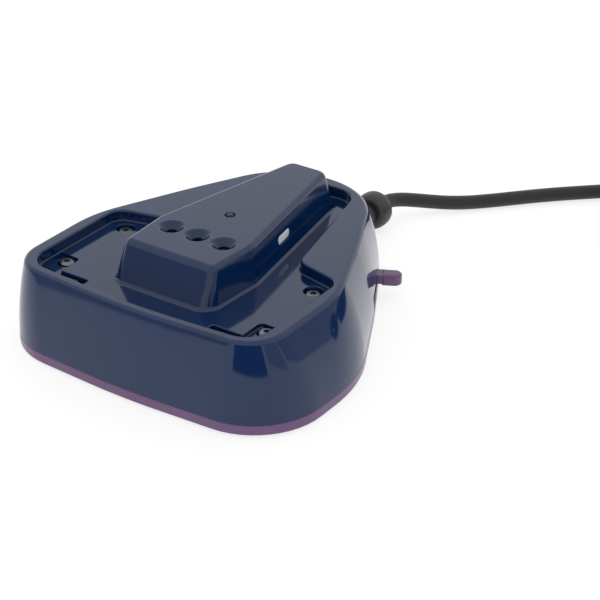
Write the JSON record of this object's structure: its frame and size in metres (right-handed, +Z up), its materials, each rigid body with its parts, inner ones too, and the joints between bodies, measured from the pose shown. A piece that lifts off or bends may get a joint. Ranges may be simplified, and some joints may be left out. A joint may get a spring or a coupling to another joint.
{
  "type": "cordless iron docking base",
  "caption": "Docking base of a cordless steam iron: flared shell, well with contact tower, sliding lock lever and mains lead with plug.",
  "frame": {"origin": "middle of the body's footprint, on the surface that the feet stand on", "axes": "+Y from the wide front end to the lead, +X to the side with the lock lever, +Z up"},
  "size_m": [0.3015, 0.3537, 0.0596],
  "materials": {
    "navy_plastic": "glossy moulded plastic, deep navy",
    "purple_plastic": "satin-gloss moulded plastic, muted purple",
    "black_rubber": "matt black rubber",
    "black_plastic": "matt black moulded plastic",
    "zinc_steel": "zinc-plated steel",
    "spring_steel": "bright spring steel",
    "pale_silicone": "translucent grey silicone",
    "contact_brass": "turned brass",
    "red_plastic": "red moulded plastic",
    "white_lens": "milky white light guide",
    "led_epoxy": "clear epoxy",
    "circuit_board": "green solder mask",
    "cream_plastic": "cream moulded plastic",
    "brown_sleeve": "brown insulation",
    "blue_sleeve": "blue insulation",
    "earth_sleeve": "green and yellow insulation",
    "textile_braid": "dark grey woven textile braid",
    "tie_strap": "black hook-and-loop strap",
    "plug_plastic": "matt black moulded plug",
    "plated_pins": "nickel-plated brass"
  },
  "bodies": {
    "root": {"upper_housing": "navy_plastic", "tower_wall": "navy_plastic", "tower_top_plate": "navy_plastic", "base_plate": "purple_plastic", "foot_front_left": "black_rubber", "foot_front_right": "black_rubber", "foot_rear_left": "black_rubber", "foot_rear_right": "black_rubber", "well_screws": "zinc_steel", "base_screws": "zinc_steel", "keeper_screws": "zinc_steel", "detent_screw": "zinc_steel", "connector_screws": "zinc_steel", "guide_screws": "zinc_steel", "clamp_screws": "zinc_steel", "terminal_screws": "zinc_steel", "lever_keepers": "black_plastic", "detent_spring": "spring_steel", "plunger_spring": "spring_steel", "connector_block": "black_plastic", "contact_seal": "pale_silicone", "live_contact": "contact_brass", "earth_contact": "contact_brass", "neutral_contact": "contact_brass", "microswitch_terminals": "contact_brass", "plunger_guide": "black_plastic", "microswitch_body": "black_plastic", "indicator_lens": "white_lens", "indicator_led": "led_epoxy", "indicator_board": "circuit_board", "terminal_block": "cream_plastic", "live_wire": "brown_sleeve", "neutral_wire": "blue_sleeve", "earth_wire": "earth_sleeve", "lead_clamp": "black_plastic", "lead_tail": "textile_braid", "lead_guard": "black_rubber", "lead": "textile_braid", "lead_coil": "textile_braid", "lead_tie": "tie_strap", "plug_body": "plug_plastic", "plug_pins": "plated_pins", "plug_earth_strips": "plated_pins", "plug_relief": "black_rubber"},
    "lever": {"lock_lever": "purple_plastic"},
    "latch": {"latch_bar": "black_plastic"},
    "plunger": {"presence_plunger": "navy_plastic"},
    "switch_button": {"microswitch_button": "red_plastic"}
  },
  "joints": [
    {"name": "lock_slide", "type": "slide", "parent": "root", "child": "lever", "axis": [0.4791, -0.8777, 0], "range_m": [0, 0.022]},
    {"name": "latch_slide", "type": "slide", "parent": "root", "child": "latch", "axis": [1, 0, 0], "range_m": [0, 0.004]},
    {"name": "plunger_press", "type": "slide", "parent": "root", "child": "plunger", "axis": [0, 0, -1], "range_m": [0, 0.0025], "stiffness_N_per_m": 300, "springref_m": -0.003, "deforming": ["plunger_spring"]},
    {"name": "switch_press", "type": "slide", "parent": "root", "child": "switch_button", "axis": [0, 0, -1], "range_m": [0, 0.0025]}
  ],
  "couplings": [
    {"joint": "latch_slide", "follows": "lock_slide", "ratio": 0.18182},
    {"joint": "switch_press", "follows": "plunger_press", "ratio": 1}
  ]
}
